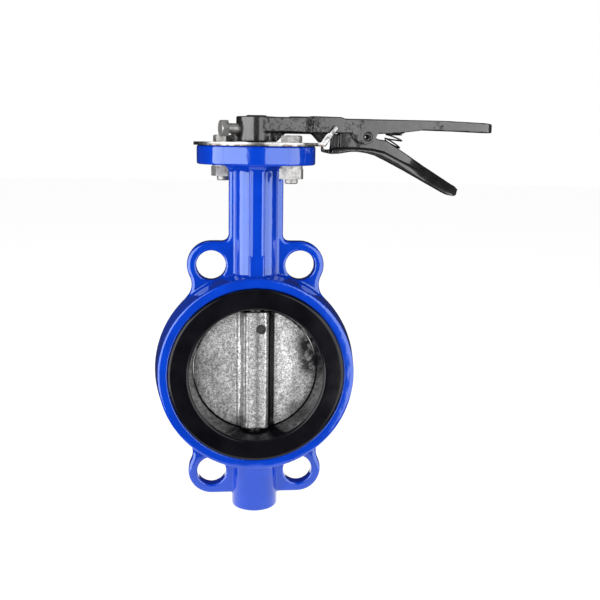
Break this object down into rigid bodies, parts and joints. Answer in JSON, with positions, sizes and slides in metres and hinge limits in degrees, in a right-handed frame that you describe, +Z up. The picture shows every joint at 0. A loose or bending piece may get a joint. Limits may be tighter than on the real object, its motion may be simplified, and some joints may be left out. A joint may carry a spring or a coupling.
{
  "type": "wafer butterfly valve",
  "caption": "Wafer butterfly valve: cast ring body with lugs and a long neck, rubber-lined bore, disc on a through stem, and a squeeze-trigger lever over a notched plate.",
  "frame": {"origin": "centre of the bore at the body's mid-plane", "axes": "+Z up the stem to the handle, Y along the pipe, +X along the handle of the closed valve"},
  "size_m": [0.2614, 0.1093, 0.3101],
  "materials": {
    "blue_epoxy": "glossy royal-blue epoxy over sand casting",
    "seat_rubber": "satin black moulded rubber",
    "seal_rubber": "satin",
    "disc_casting": "grainy silver-grey cast surface",
    "stem_steel": "ground",
    "pin_steel": "dull",
    "bush_polymer": "matt",
    "zinc_plate": "mottled bright zinc",
    "zinc_hardware": "dulled zinc",
    "black_enamel": "glossy black enamel over rough casting",
    "spring_wire": "oiled black wire"
  },
  "bodies": {
    "valve": {"valve_body": "blue_epoxy", "seat_liner": "seat_rubber", "upper_stem_bush": "bush_polymer", "lower_neck_bush": "bush_polymer", "bottom_stem_bush": "bush_polymer", "stem_o_rings": "seal_rubber", "thrust_washer": "stem_steel", "notch_plate": "zinc_plate", "plate_bolts": "zinc_hardware", "plate_spring_washers": "zinc_hardware", "plate_nuts": "zinc_hardware"},
    "handle_and_disc": {"stem": "stem_steel", "disc": "disc_casting", "disc_taper_pin": "pin_steel", "stem_circlip": "stem_steel", "handle_lever": "black_enamel", "handle_set_bolt": "zinc_hardware", "trigger_pivot_pin": "pin_steel", "trigger_spring": "spring_wire"},
    "trigger": {"trigger_lever": "black_enamel"}
  },
  "joints": [
    {"name": "stem_turn", "type": "hinge", "parent": "valve", "child": "handle_and_disc", "pos_m": [0, 0, 0], "axis": [0, 0, 1], "range_deg": [0, 90]},
    {"name": "trigger_squeeze", "type": "hinge", "parent": "handle_and_disc", "child": "trigger", "pos_m": [0.0832, 0, 0.1821], "axis": [0, -1, 0], "range_deg": [0, 10], "stiffness_Nm_per_rad": 1, "springref_deg": -14.32, "deforming": ["trigger_spring"]}
  ]
}
